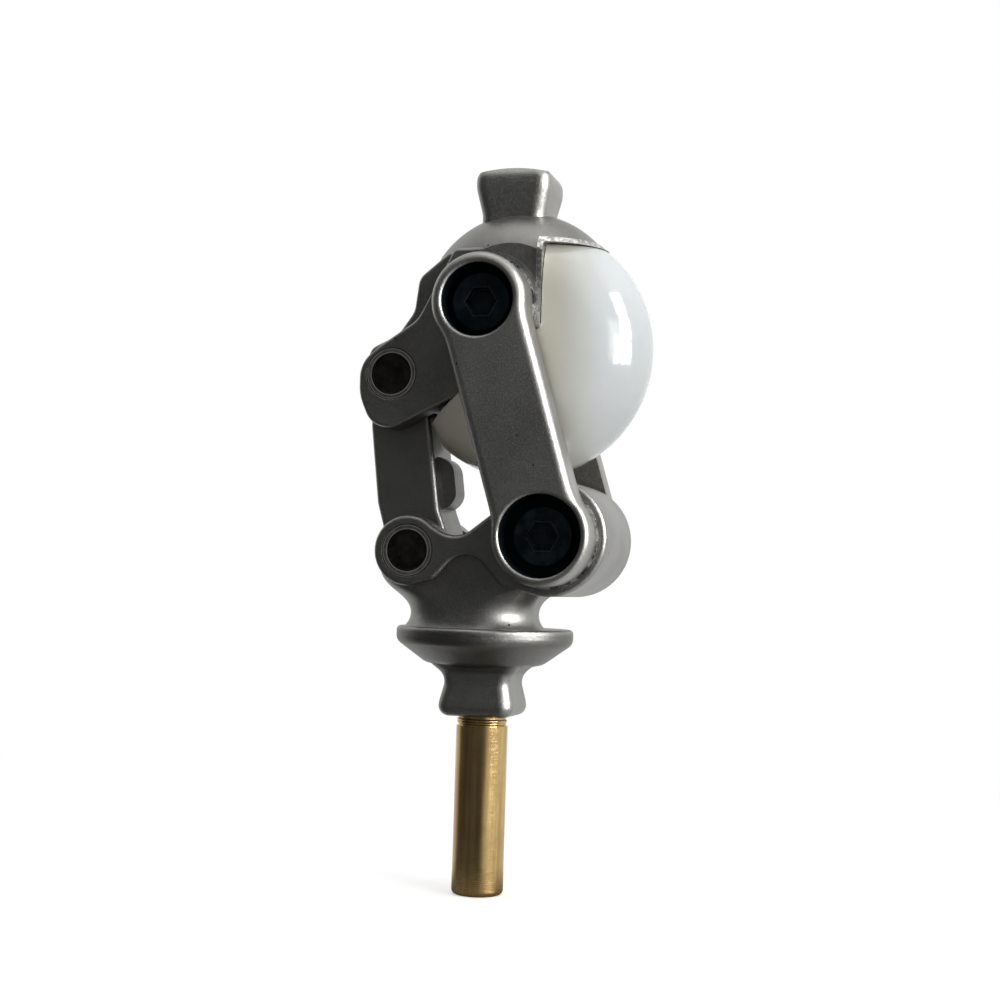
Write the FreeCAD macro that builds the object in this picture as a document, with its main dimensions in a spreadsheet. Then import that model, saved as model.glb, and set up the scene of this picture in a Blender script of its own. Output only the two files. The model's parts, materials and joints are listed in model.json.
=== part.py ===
import FreeCAD, Part
import math

# Prosthetic four-bar knee joint. Front is +X, the near side is -Y, up is +Z.
# X = 0, Y = 0 is the axis of the lower pyramid and of the spring housing,
# and Z = 0 is the lowest point of the lower dome. Lengths are millimetres.

SIZES = {
    # Pivots of the four-bar, in the side view
    "front_low_x": 22.6,
    "front_low_z": 38.8,
    "rear_low_x": -18.6,
    "rear_low_z": 34.2,
    "rear_up_x": -25.3,
    "rear_up_z": 84.9,
    "front_up_x": 2.9,
    "front_up_z": 104.2,
    # Layers across the knee, from the middle plane outwards
    "link_half": 10.0,
    "rear_washer": 0.7,
    "slot_gap": 0.3,
    "arm_thick": 7.4,
    "pad_high": 0.6,
    "axial_gap": 0.2,
    "front_washer": 1.0,
    "front_link_thick": 10.3,
    # Front links
    "link_low_radius": 14.0,
    "link_up_radius": 13.6,
    "link_width": 24.0,
    "link_edge": 2.6,
    "link_blend": 20.0,
    "counterbore_low": 11.4,
    "counterbore_up": 10.2,
    "counterbore_deep": 8.2,
    "counterbore_edge": 1.1,
    "washer_rim": 0.5,
    # Front axles, their bushes and screws
    "axle_radius": 7.4,
    "bush_radius": 10.0,
    "bush_long": 7.5,
    "running": 0.05,
    "screw_radius": 5.0,
    "screw_long": 11.8,
    "screw_play": 0.1,
    "head_radius": 8.4,
    "head_high": 3.4,
    "head_edge": 0.5,
    "hex_across": 8.0,
    "hex_deep": 2.9,
    # Rear pivots
    "pin_radius": 5.6,
    "ring_radius": 7.3,
    "pin_inset": 0.4,
    # Rear link
    "eye_low": 9.6,
    "eye_up": 8.6,
    "plate_rear": 10.8,
    "plate_front": 7.6,
    "plate_edge": 1.5,
    "web_side": 12.0,
    "web_low": 13.0,
    "web_up": 25.0,
    "nose_half": 4.5,
    "nose_radius": 4.0,
    "nose_rise": 0.9,
    "nose_gap": 0.6,
    "rear_fold": 46.0,
    # Lower frame
    "flange_radius": 25.8,
    "flange_top": 12.6,
    "flange_edge": 1.2,
    "flange_low": 8.4,
    "flange_round": 3.0,
    "bowl_radius": 17.4,
    "bowl_round": 5.0,
    "dome_radius": 66.0,
        "neck_x": -3.2,
    "neck_long": 18.4,
    "neck_half": 16.6,
    "neck_step": 3.0,
    "boss_radius": 16.6,
    "lug_radius": 10.1,
    "saddle_z": 37.2,
    "pad_edge": 1.4,
    "swing_gap": 1.0,
    # Pyramids
    "pyramid_neck": 18.8,
    "pyramid_end": 22.1,
    "pyramid_corner": 3.6,
    "pyramid_flare": 7.6,
    "pyramid_bend": 9.0,
    "pyramid_foot": 4.2,
    "pyramid_root": 8.0,
    "pyramid_fillet": 4.5,
    "low_neck_z": -1.6,
    "low_end_z": -12.9,
    "low_round": 3.0,
    "up_x": 6.6,
    "up_neck_z": 132.8,
    "up_end_z": 146.8,
    "up_round": 4.4,
    "up_crown": 46.0,
    # Head casting and cap
    "ball_x": 8.8,
    "ball_z": 104.1,
    "ball_radius": 30.0,
    "ball_flat": 18.0,
    "cap_x": 10.0,
    "cap_z": 93.5,
    "cap_radius": 37.3,
    "cap_flat": 17.0,
    "cap_wall": 5.0,
    "cap_top_z": 122.6,
    "cap_side_x": 18.4,
    "cap_gap": 0.25,
    "rim_high": 0.5,
    "rim_wide": 1.5,
    "seat_radius": 15.4,
    "band_inset": 2.4,
    "arm_edge": 1.2,
    # Spring housing, plunger and spring
    "housing_radius": 7.5,
    "housing_wall": 1.2,
    "housing_top": -15.8,
    "housing_end": -64.4,
    "housing_edge": 1.4,
    "housing_floor": 3.0,
    "thread_radius": 6.9,
    "thread_top": -3.0,
    "plunger_top": 30.4,
    "plunger_radius": 5.0,
    "plunger_play": 0.2,
    "plunger_edge": 0.8,
    "piston_high": 4.0,
    "piston_z": -24.0,
    "spring_wire": 1.3,
    "spring_play": 0.5,
    "spring_pitch": 3.9,
}

document = FreeCAD.newDocument("knee")
sheet = document.addObject("Spreadsheet::Sheet", "size")
for row, (alias, value) in enumerate(SIZES.items(), 1):
    sheet.set("A%d" % row, alias)
    sheet.set("B%d" % row, str(value))
    sheet.setAlias("B%d" % row, alias)
document.recompute()


def size(alias):
    """The number that the sheet holds under this name."""
    return float(sheet.get(alias))


def pivot(name):
    """The place of a pivot in the side view."""
    return size(name + "_x"), size(name + "_z")


FRONT_LOW = pivot("front_low")
REAR_LOW = pivot("rear_low")
REAR_UP = pivot("rear_up")
FRONT_UP = pivot("front_up")
BALL = pivot("ball")
CAP = pivot("cap")

# Heights across the knee that several pieces share, as expressions and as numbers
SLOT = "(size.link_half + size.rear_washer + size.slot_gap)"
CHEEK = "(size.link_half + size.rear_washer + size.slot_gap + size.arm_thick)"
BOSS = "(%s + size.pad_high)" % CHEEK
WASHER_IN = "(%s + size.axial_gap)" % BOSS
LINK_IN = "(%s + size.front_washer)" % WASHER_IN
LINK_OUT = "(%s + size.front_link_thick)" % LINK_IN
slot_half = size("link_half") + size("rear_washer") + size("slot_gap")
cheek_half = slot_half + size("arm_thick")
boss_half = cheek_half + size("pad_high")
link_out = boss_half + size("axial_gap") + size("front_washer") + size("front_link_thick")
MARGIN = 5.0

# Slices of the neck, upwards in even steps: how far each stands out from the waist to
# the rear, to the front and to the sides, and how round its corners are
NECK = (
    (3.4, 3.8, 2.0, 17.0),
    (0.3, 0.4, 0.3, 15.0),
    (0.1, 0.0, 0.0, 14.5),
    (1.6, 1.1, 0.0, 12.5),
    (4.4, 4.6, 0.0, 8.5),
    (6.3, 9.3, 0.0, 5.5),
    (6.9, 12.1, 0.0, 4.0),
    (6.9, 13.6, 0.0, 4.0),
    (6.9, 13.8, 0.0, 4.0),
)

ACROSS = FreeCAD.Rotation(FreeCAD.Vector(1, 0, 0), 90)
UPRIGHT = FreeCAD.Rotation()


def named(kind, name):
    return document.addObject(kind, name)


def put(obj, x, y, z, turn=UPRIGHT):
    """Place an object by three expressions of the sheet."""
    obj.Placement = FreeCAD.Placement(FreeCAD.Vector(), turn)
    obj.setExpression("Placement.Base.x", str(x))
    obj.setExpression("Placement.Base.y", str(y))
    obj.setExpression("Placement.Base.z", str(z))
    return obj


def drum(name, centre, radius, y_from, y_to):
    """A cylinder across the knee, about a centre, between two heights on Y."""
    obj = named("Part::Cylinder", name)
    obj.setExpression("Radius", radius)
    obj.setExpression("Height", "(%s) - (%s)" % (y_to, y_from))
    x, z = centre
    return put(obj, x, y_to, z, ACROSS)


def pin(name, where, radius, y_from, y_to):
    """A cylinder across the knee, bound to a named pivot."""
    return drum(name, ("size.%s_x" % where, "size.%s_z" % where), radius, y_from, y_to)


def bore(name, where, radius):
    """A cutter right through the knee, about a pivot."""
    return pin(name, where, radius, "-%s - %s" % (BOSS, MARGIN), "%s + %s" % (BOSS, MARGIN))


def column(name, radius, z_from, z_to):
    """A vertical cylinder on the axis of the lower pyramid."""
    obj = named("Part::Cylinder", name)
    obj.setExpression("Radius", radius)
    obj.setExpression("Height", "(%s) - (%s)" % (z_to, z_from))
    return put(obj, "0", "0", z_from)


def ball(name, radius, x, z):
    obj = named("Part::Sphere", name)
    obj.setExpression("Radius", radius)
    return put(obj, x, "0", z)


def fuse(name, *pieces):
    obj = named("Part::MultiFuse", name)
    obj.Shapes = list(pieces)
    obj.Refine = True
    return obj


def common(name, *pieces):
    obj = named("Part::MultiCommon", name)
    obj.Shapes = list(pieces)
    return obj


def cut(name, base, *tools):
    obj = named("Part::Cut", name)
    obj.Base = base
    obj.Tool = tools[0] if len(tools) == 1 else fuse(name + "_tools", *tools)
    return obj


def group(name, *pieces):
    obj = named("Part::Compound", name)
    obj.Links = list(pieces)
    return obj


def mirrored(name, source):
    """The same piece on the far side."""
    obj = named("Part::Mirroring", name)
    obj.Source = source
    obj.Normal = FreeCAD.Vector(0, 1, 0)
    return obj


def both(name, near):
    return group(name, near, mirrored(name + "_far", near))


def rounded(name, base, radius, wanted):
    """Round the edges of base that a test picks."""
    document.recompute()
    picked = [number for number, edge in enumerate(base.Shape.Edges, 1) if wanted(edge)]
    obj = named("Part::Fillet", name)
    obj.Base = base
    obj.Edges = [(number, radius, radius) for number in picked]
    return obj


def is_level(edge, height):
    """True for an edge that lies in the level plane at this height."""
    box = edge.BoundBox
    return box.ZLength < 0.01 and abs(box.ZMax - height) < 0.01


def on_plane(edge, half):
    """True for an edge that lies in one of the two planes at this height on Y."""
    box = edge.BoundBox
    return box.YLength < 0.01 and abs(abs(box.YMax) - half) < 0.01


def corner_arc(before, corner, after, radius):
    """Start, middle and end of the arc that rounds a corner of an outline."""
    point = FreeCAD.Vector(corner[0], corner[1], 0)
    back = (FreeCAD.Vector(before[0], before[1], 0) - point).normalize()
    ahead = (FreeCAD.Vector(after[0], after[1], 0) - point).normalize()
    half = back.getAngle(ahead) / 2
    reach = radius / math.tan(half)
    bisector = (back + ahead).normalize()
    centre = point + bisector * (radius / math.sin(half))
    return point + back * reach, centre - bisector * radius, point + ahead * reach


def outline(name, corners, turn=ACROSS, at=(0, 0, 0)):
    """A sketch of straight runs whose corners (x, z, radius) are rounded."""
    sketch = named("Sketcher::SketchObject", name)
    count = len(corners)
    last = None
    first = None
    for number, corner in enumerate(corners):
        before = corners[number - 1]
        after = corners[(number + 1) % count]
        if corner[2] > 0:
            start, middle, end = corner_arc(before, corner, after, corner[2])
        else:
            start = end = FreeCAD.Vector(corner[0], corner[1], 0)
        if last is not None:
            sketch.addGeometry(Part.LineSegment(last, start), False)
        if corner[2] > 0:
            sketch.addGeometry(Part.ArcOfCircle(start, middle, end), False)
        first = first or start
        last = end
    sketch.addGeometry(Part.LineSegment(last, first), False)
    sketch.Placement = FreeCAD.Placement(FreeCAD.Vector(*at), turn)
    return sketch


def from_point(centre, corners):
    """Corners (x, z, radius) that are given from a centre."""
    return [(centre[0] + x, centre[1] + z, radius) for x, z, radius in corners]


def prism(name, corners, half):
    """An outline of the side view, made solid to the same depth both ways."""
    obj = named("Part::Extrusion", name)
    obj.Base = outline(name + "_outline", corners)
    obj.DirMode = "Normal"
    obj.Solid = True
    obj.Symmetric = True
    obj.setExpression("LengthFwd", "2 * (%s)" % half)
    return obj


def slab(name, corners, y_from, y_to):
    """An outline of the side view, made solid between two heights on Y."""
    obj = named("Part::Extrusion", name)
    obj.Base = outline(name + "_outline", corners)
    obj.DirMode = "Normal"
    obj.Solid = True
    obj.setExpression("LengthFwd", "(%s) - (%s)" % (y_to, y_from))
    return put(obj, "0", y_to, "0")


def turned(name, corners):
    """An outline of radius and height, turned about the vertical axis."""
    obj = named("Part::Revolution", name)
    obj.Source = outline(name + "_profile", corners)
    obj.Axis = FreeCAD.Vector(0, 0, 1)
    obj.Angle = 360
    obj.Solid = True
    return obj


def loft(name, sections, ruled):
    obj = named("Part::Loft", name)
    obj.Sections = sections
    obj.Solid = True
    obj.Ruled = ruled
    return obj


def rectangle(rear, front, half, corner):
    return [(rear, -half, corner), (front, -half, corner), (front, half, corner), (rear, half, corner)]


def pyramid(name, x, neck, end, way, foot, root, end_round):
    """A male pyramid: a square core with a foot, a neck and a wider end."""
    corner = size("pyramid_corner")
    slim = size("pyramid_neck") / 2
    wide = size("pyramid_end") / 2
    flare = neck + way * size("pyramid_flare")
    levels = ((slim + foot, neck - way * root), (slim, neck), (wide, flare), (wide, end))
    sections = []
    for number, (half, height) in enumerate(levels):
        place = (x, 0, height)
        square = rectangle(-half, half, half, corner)
        sections.append(outline("%s_%d" % (name, number), square, UPRIGHT, place))
    core = loft(name + "_core", sections, True)
    footed = rounded(name + "_footed", core, size("pyramid_fillet"), lambda edge: is_level(edge, neck))
    bent = rounded(name + "_bent", footed, size("pyramid_bend"), lambda edge: is_level(edge, flare))
    return rounded(name, bent, end_round, lambda edge: is_level(edge, end))


def turned_across(name, profile, half, centre):
    """A profile of radius and depth, turned across the knee and mirrored to the far side."""
    sketch = named("Sketcher::SketchObject", name + "_profile")
    sketch.addGeometry(profile, False)
    start = profile.StartPoint
    end = profile.EndPoint
    rim, equator = (start, end) if start.y > end.y else (end, start)
    path = [equator, FreeCAD.Vector(), FreeCAD.Vector(0, half, 0), rim]
    for first, last in zip(path, path[1:]):
        sketch.addGeometry(Part.LineSegment(first, last), False)
    side = named("Part::Revolution", name + "_half")
    side.Source = sketch
    side.Axis = FreeCAD.Vector(0, 1, 0)
    side.Angle = 360
    side.Solid = True
    whole = fuse(name, side, mirrored(name + "_mirror", side))
    whole.Placement = FreeCAD.Placement(FreeCAD.Vector(centre[0], 0, centre[1]), UPRIGHT)
    return whole


def flat_ball(name, radius, half, flat, centre):
    """A ball that meets two flat cheeks of a given radius in a crease."""
    middle = (radius ** 2 - flat ** 2 - half ** 2) / (2 * (radius - flat))
    crown = radius - middle
    slope = math.atan2(half, flat - middle) / 2
    rim = FreeCAD.Vector(flat, half, 0)
    belly = FreeCAD.Vector(middle + crown * math.cos(slope), crown * math.sin(slope), 0)
    return turned_across(name, Part.ArcOfCircle(rim, belly, FreeCAD.Vector(radius, 0, 0)), half, centre)


def soft_ball(name, radius, half, flat, centre):
    """A ball whose sides run out smoothly into two flat cheeks of a given radius."""
    middle = FreeCAD.Vector(flat, 0, 0)
    front = FreeCAD.Vector(radius, 0, 0)
    back = FreeCAD.Vector(2 * flat - radius, 0, 0)
    side = FreeCAD.Vector(flat, half, 0)
    if radius - flat > half:
        quarter = Part.ArcOfEllipse(Part.Ellipse(front, side, middle), 0, math.pi / 2)
    else:
        quarter = Part.ArcOfEllipse(Part.Ellipse(side, back, middle), -math.pi / 2, 0)
    return turned_across(name, quarter, half, centre)


def along(start, end, reach, side):
    """A point on the way from start to end, moved sideways (right of the way)."""
    length = math.dist(start, end)
    dx = (end[0] - start[0]) / length
    dz = (end[1] - start[1]) / length
    return start[0] + dx * reach + dz * side, start[1] + dz * reach - dx * side


def run(start, end, corners):
    """Corners (reach, side, radius) that are given along the way between two points."""
    return [(*along(start, end, reach, side), radius) for reach, side, radius in corners]


def bar(start, end, width):
    """Corners of a straight bar between two pivots."""
    length = math.dist(start, end)
    half = width / 2
    return run(start, end, [(0, -half, 0), (length, -half, 0), (length, half, 0), (0, half, 0)])


def frame_foot():
    """The flange, with a conical bowl and the shallow dome under it."""
    rim = size("flange_radius")
    bowl = size("bowl_radius")
    dome = size("dome_radius")
    disc = turned("foot_turned", [
        (0, 0, 0),
        (bowl / 2, 0, 0),
        (bowl, dome - math.sqrt(dome ** 2 - bowl ** 2), size("bowl_round")),
        (rim, size("flange_low"), size("flange_round")),
        (rim, size("flange_top"), size("flange_edge")),
        (0, size("flange_top"), 0),
    ])
    return common("foot", disc, ball("foot_dome", "size.dome_radius", "0", "size.dome_radius"))


def frame_neck():
    """The waisted neck that grows from the flange into the lugs and the boss."""
    rear = size("neck_x") - size("neck_long")
    front = size("neck_x") + size("neck_long")
    half = size("neck_half")
    slices = []
    for number, (back, ahead, aside, corner) in enumerate(NECK):
        corners = rectangle(rear - back, front + ahead, half + aside, corner)
        height = size("flange_top") - 1 + number * size("neck_step")
        slices.append(outline("neck_slice_%d" % number, corners, UPRIGHT, (0, 0, height)))
    return loft("neck", slices, False)


def frame_pads():
    """The raised flat pads: the boss, the lugs and the waist that joins them."""
    bx, bz = REAR_LOW
    ax, az = FRONT_LOW
    lug = size("lug_radius")
    boss = size("boss_radius")
    waist = prism("pad_waist", [
        (bx, bz, 0),
        (bx + lug * 0.55, bz + lug * 0.8, 0),
        (bx + lug * 1.42, size("saddle_z"), 8),
        (ax - boss * 0.72, az + boss * 0.6, 0),
        (ax, az, 0),
        (ax - boss * 0.20, az - boss * 0.97, 0),
        (ax - boss * 0.82, az - boss * 0.83, 3),
        (bx + lug * 1.72, size("saddle_z") - 0.6, 7),
        (bx + lug * 0.79, bz - lug * 0.81, 3),
        (bx + lug * 0.30, bz - lug * 0.95, 0),
    ], BOSS)
    pads = fuse(
        "pads_whole",
        waist,
        pin("pad_boss", "front_low", "size.boss_radius", "-" + BOSS, BOSS),
        pin("pad_lugs", "rear_low", "size.lug_radius", "-" + BOSS, BOSS),
    )
    return rounded("pads", pads, size("pad_edge"), lambda edge: on_plane(edge, boss_half))


def nose_path():
    """The space in which the nose of the rear link turns down to the folded place."""
    bx, bz = REAR_LOW
    gap = size("nose_radius") + size("swing_gap")
    reach = math.hypot(bx, size("nose_rise")) + gap
    fold = math.radians(size("rear_fold"))
    tip = (bx + reach * math.cos(fold), bz - reach * math.sin(fold))
    high = size("saddle_z") + MARGIN
    sweep = prism("nose_sweep", [
        (*along(REAR_LOW, tip, 0, gap), 0),
        (*along(REAR_LOW, tip, reach + gap, gap), 0),
        (bx + reach + 2, bz - reach, 0),
        (bx + reach + 2, high, 0),
        (bx, high, 0),
    ], "size.nose_half + size.nose_gap")
    limit = drum("nose_limit", ("size.rear_low_x", "size.rear_low_z"), str(round(reach, 3)), "-" + SLOT, SLOT)
    return common("nose_path", sweep, limit)


def lower_frame():
    """The casting that carries both lower pivots, the flange and the lower pyramid."""
    end = size("low_end_z")
    foot = size("pyramid_foot")
    whole = fuse(
        "frame_whole",
        frame_foot(),
        frame_neck(),
        frame_pads(),
        pyramid("low_pyramid", 0, size("low_neck_z"), end, -1, foot, foot, size("low_round")),
    )
    bx, bz = REAR_LOW
    swing = size("eye_low") + size("swing_gap")
    lean = (bx + math.cos(math.radians(size("rear_fold"))), bz + math.sin(math.radians(size("rear_fold"))))
    ahead = along(REAR_LOW, lean, 0, swing)
    top = along(REAR_LOW, lean, 4 * swing, swing)
    slot = prism("frame_slot", [
        (bx, bz, 0),
        (ahead[0], ahead[1], 0),
        (top[0], top[1], 0),
        (bx - 3 * swing, top[1], 0),
        (bx - 3 * swing, bz, 0),
    ], SLOT)
    cutters = [
        slot,
        pin("frame_slot_eye", "rear_low", "size.eye_low + size.swing_gap", "-" + SLOT, SLOT),
        nose_path(),
        bore("frame_bore_front", "front_low", "size.bush_radius"),
        bore("frame_bore_rear", "rear_low", "size.ring_radius"),
        column("frame_bore_plunger", "size.plunger_radius + size.plunger_play",
               "size.thread_top - 0.1", "size.saddle_z + %s" % MARGIN),
        column("frame_bore_thread", "size.thread_radius", "size.low_end_z - 1", "size.thread_top"),
    ]
    return cut("frame_cut", whole, *cutters)


def hollow(name, where, outer, inner, y_from, y_to):
    """A ring about a pivot: a bush or a washer."""
    skin = pin(name + "_skin", where, outer, y_from, y_to)
    core = pin(name + "_core", where, inner, "(%s) - 1" % y_from, "(%s) + 1" % y_to)
    return cut(name, skin, core)


def front_bushes(name, where):
    near = hollow(name + "_near", where, "size.bush_radius", "size.axle_radius + size.running",
                  "-" + BOSS, "-%s + size.bush_long" % BOSS)
    return both(name, near)


def rear_bushes(name, where, half):
    near = hollow(name + "_near", where, "size.ring_radius", "size.pin_radius + size.running",
                  "-" + half, "-" + SLOT)
    return both(name, near)


def front_axle(name, where):
    """An axle through the casting, tapped at both ends for the link screws."""
    rod = pin(name + "_rod", where, "size.axle_radius", "-" + LINK_IN, LINK_IN)
    deep = "(size.screw_long - size.front_link_thick + size.counterbore_deep + 1)"
    tap = pin(name + "_tap", where, "size.screw_radius + size.screw_play",
              "-%s - 1" % LINK_IN, "-%s + %s" % (LINK_IN, deep))
    return cut(name, rod, tap, mirrored(name + "_tap_far", tap))


def link_screws(name, where):
    """Thin-head socket screws, seated deep in the counterbores of the front links."""
    seat = "(-%s + size.counterbore_deep)" % LINK_OUT
    face = link_out - size("counterbore_deep") + size("head_high")
    head = pin(name + "_head", where, "size.head_radius", seat + " - size.head_high", seat)
    head = rounded(name + "_head_soft", head, size("head_edge"), lambda edge: on_plane(edge, face))
    shank = pin(name + "_shank", where, "size.screw_radius", seat, seat + " + size.screw_long")
    screw = fuse(name + "_near", head, shank)
    hexagon = named("Part::Prism", name + "_hex")
    hexagon.Polygon = 6
    hexagon.setExpression("Circumradius", "size.hex_across / sqrt(3)")
    hexagon.setExpression("Height", "size.hex_deep + 1")
    put(hexagon, "size.%s_x" % where, seat + " - size.head_high + size.hex_deep", "size.%s_z" % where, ACROSS)
    return both(name, cut(name + "_cut", screw, hexagon))


def front_washers(name, where, outer):
    near = hollow(name + "_near", where, outer, "size.axle_radius + size.screw_play",
                  "-" + LINK_IN, "-" + WASHER_IN)
    return both(name, near)


def is_concave_side(edge):
    """True for the straight edges where the sides of a link meet its round ends."""
    if not isinstance(edge.Curve, Part.Line) or edge.BoundBox.YLength < 1:
        return False
    middle = (edge.BoundBox.XMin, edge.BoundBox.ZMin)
    return min(math.dist(middle, FRONT_LOW), math.dist(middle, FRONT_UP)) > size("link_width") / 2


def is_mouth(edge):
    """True for the rims of the counterbores on the outer face of a link."""
    if not on_plane(edge, link_out) or not isinstance(edge.Curve, Part.Circle):
        return False
    return edge.Curve.Radius < size("counterbore_low") + 0.1


def near_link():
    """The near front link: a flat bar with a round, counterbored end at each pivot."""
    shank = slab("link_bar", bar(FRONT_LOW, FRONT_UP, size("link_width")), "-" + LINK_OUT, "-" + LINK_IN)
    low = pin("link_low_end", "front_low", "size.link_low_radius", "-" + LINK_OUT, "-" + LINK_IN)
    high = pin("link_up_end", "front_up", "size.link_up_radius", "-" + LINK_OUT, "-" + LINK_IN)
    whole = fuse("link_whole", shank, low, high)
    waisted = rounded("link_waisted", whole, size("link_blend"), is_concave_side)
    soft = rounded("link_soft", waisted, size("link_edge"), lambda edge: on_plane(edge, link_out))
    floor = "(-%s + size.counterbore_deep)" % LINK_OUT
    cutters = []
    for where, mouth in (("front_low", "counterbore_low"), ("front_up", "counterbore_up")):
        cutters.append(pin("link_bore_" + where, where, "size." + mouth, "-%s - 1" % LINK_OUT, floor))
        cutters.append(pin("link_hole_" + where, where, "size.screw_radius + size.screw_play",
                           floor, "-%s + 1" % LINK_IN))
    bored = cut("link_bored", soft, *cutters)
    return rounded("link_cut", bored, size("counterbore_edge"), is_mouth)


def rear_link():
    """The rear link: a wide plate with a web at the front and a nose for the plunger."""
    low = size("eye_low")
    high = size("eye_up")
    rear = size("plate_rear")
    front = size("plate_front")
    length = math.dist(REAR_LOW, REAR_UP)
    plate = prism("rear_plate", run(REAR_LOW, REAR_UP, [
        (-low, -low, low - 0.3),
        (low * 0.75, -low, 6),
        (low * 1.6, -rear, 9),
        (length - high * 1.5, -rear + 0.3, 12),
        (length - 1.2, -high, 12),
        (length + high, -high, high - 0.3),
        (length + high, high, high - 0.3),
        (length - high * 0.3, high, 4),
        (length - high * 1.2, front, 4),
        (low * 1.2, front, 4),
        (low * 0.3, low, 4),
        (-low, low, low - 0.3),
    ]), "size.link_half")
    soft = rounded("rear_soft", plate, size("plate_edge"), lambda edge: on_plane(edge, size("link_half")))
    tip = (0, size("rear_low_z") + size("nose_rise"))
    nose = prism("rear_nose", bar(REAR_LOW, tip, 2 * size("nose_radius")), "size.nose_half")
    nose_tip = drum("rear_nose_tip", ("0", "size.rear_low_z + size.nose_rise"), "size.nose_radius",
                    "-size.nose_half", "size.nose_half")
    web = prism("rear_web", run(REAR_LOW, REAR_UP, [
        (size("web_low") - 4, 0, 0),
        (size("web_up") + 6, 0, 0),
        (size("web_up"), size("web_side"), 5),
        (size("web_low"), size("web_side"), 5),
    ]), "size.nose_half")
    whole = fuse("rear_whole", soft, web, nose, nose_tip)
    holes = [
        bore("rear_bore_low", "rear_low", "size.pin_radius"),
        bore("rear_bore_up", "rear_up", "size.pin_radius"),
    ]
    return cut("rear_cut", whole, *holes)


def rear_washers(name, where, eye):
    near = hollow(name + "_near", where, eye + " - size.pin_inset", "size.pin_radius",
                  "-size.link_half - size.rear_washer", "-size.link_half")
    return both(name, near)


def link_slot(name):
    """The space between the head's arms that the rear link turns and folds in."""
    cx, cz = REAR_UP
    dx, dz = FRONT_UP
    swing = size("eye_up") + size("swing_gap")
    rest_high = along(REAR_UP, REAR_LOW, swing + 1, -swing)
    rest_low = along(REAR_UP, REAR_LOW, 4.5 * swing, -swing)
    return prism(name, [
        (cx - 4 * swing, rest_low[1], 0),
        (rest_low[0], rest_low[1], 0),
        (rest_high[0], rest_high[1], 1),
        (dx - 7.9, rest_high[1] + 1, 5),
        (dx - 2.3, cz, 5),
        (dx - 2.3, cz + 12.7, 3),
        (dx - 8, dz + 1, 3),
        (cx - 4, dz + 2, 0),
        (cx - 4 * swing, dz + 2, 0),
    ], SLOT)


def cap_edge(gap):
    """The corners of the line where the cap meets the casting, from the top to the rear tip."""
    side = size("cap_side_x") + gap
    cx, cz = REAR_UP
    top = size("cap_top_z") - gap
    return [(side, top, 0), (cx + 5.6, cz - 17.6, 0), (cx + 19.0, cz - 6.6, 8), (side, cz + 13.4, 3)]


def head_front():
    """The part of the side view that the casting's balls keep: what the cap leaves."""
    top, _, saddle, notch = cap_edge(0)
    cx, cz = REAR_UP
    far = size("cap_x") + 2 * size("cap_radius")
    high = size("up_end_z") + MARGIN
    return prism("head_front", [
        (cx + 10.8, high, 0),
        (cx + 10.8, cz + 34.1, 0),
        (cx + 8.3, cz + 28.1, 4),
        (cx + 6.8, cz + 16.1, 4),
        (cx + 7.8, cz - 8.9, 0),
        saddle,
        notch,
        top,
        (far, size("cap_top_z"), 0),
        (far, high, 0),
    ], "%s + %s" % (BOSS, MARGIN))


def head_arm():
    """The flat side pad of the head, with the two rear arms."""
    arm = prism("arm", from_point(REAR_UP, [
        (33.3, 36.7, 3),
        (17.7, 36.1, 2.5),
        (7.2, 15.7, 9),
        (-4.3, 8.0, 12),
        (-9.9, 3.3, 9),
        (-9.8, -6.3, 14),
        (-6.1, -14.5, 7),
        (0.4, -15.9, 8),
        (19.0, -6.6, 8),
        (37.3, 9.1, 4),
        (40.0, 34.0, 3),
    ]), CHEEK)
    return rounded("arm_soft", arm, size("arm_edge"), lambda edge: on_plane(edge, cheek_half))


def head_band():
    """The recessed band behind the pad, from the dome down to the arms."""
    half = cheek_half - size("band_inset")
    band = prism("band", from_point(REAR_UP, [
        (17.3, 37.0, 3),
        (6.6, 28.2, 5),
        (5.4, 18.4, 6),
        (0.6, 11.6, 8),
        (-8.0, 7.6, 4),
        (-8.2, -1.0, 3),
        (19.3, -1.0, 3),
        (29.3, 19.1, 4),
    ]), "%s - size.band_inset" % CHEEK)
    return rounded("band_soft", band, size("arm_edge"), lambda edge: on_plane(edge, half))


def head_core():
    """The inner web of the head that fills the cap."""
    inside = ball("core_ball", "size.cap_radius - size.cap_wall", "size.cap_x", "size.cap_z")
    return common("core", inside, prism("core_slab", from_point(CAP, [
        (-24, -17.5, 3),
        (-4, -31, 8),
        (24, -21.5, 12),
        (30, 6.5, 12),
        (20, 24.5, 5),
        (-10, 24.5, 0),
    ]), "%s - size.cap_wall" % CHEEK))


def cap_rim():
    """The raised bead that frames the cap at its top and rear edges."""
    high = size("rim_high")
    wide = size("rim_wide")
    side = size("cap_side_x")
    top = size("cap_top_z")
    far = size("cap_x") + 2 * size("cap_radius")
    ring = fuse(
        "rim_balls",
        flat_ball("rim_ball", size("ball_radius") + high, cheek_half + high, size("ball_flat") + high, BALL),
        soft_ball("rim_belly", size("cap_radius") + high / 2, cheek_half + high, size("cap_flat"), CAP),
    )
    foot = REAR_UP[1] + 13.0
    band = prism("rim_band", [
        (side - wide, foot, 0),
        (side, foot, 0),
        (side, top, 1),
        (far, top, 0),
        (far, top + wide, 0),
        (side - wide, top + wide, 2),
    ], "%s + %s" % (BOSS, MARGIN))
    return common("rim", ring, band)


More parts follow.
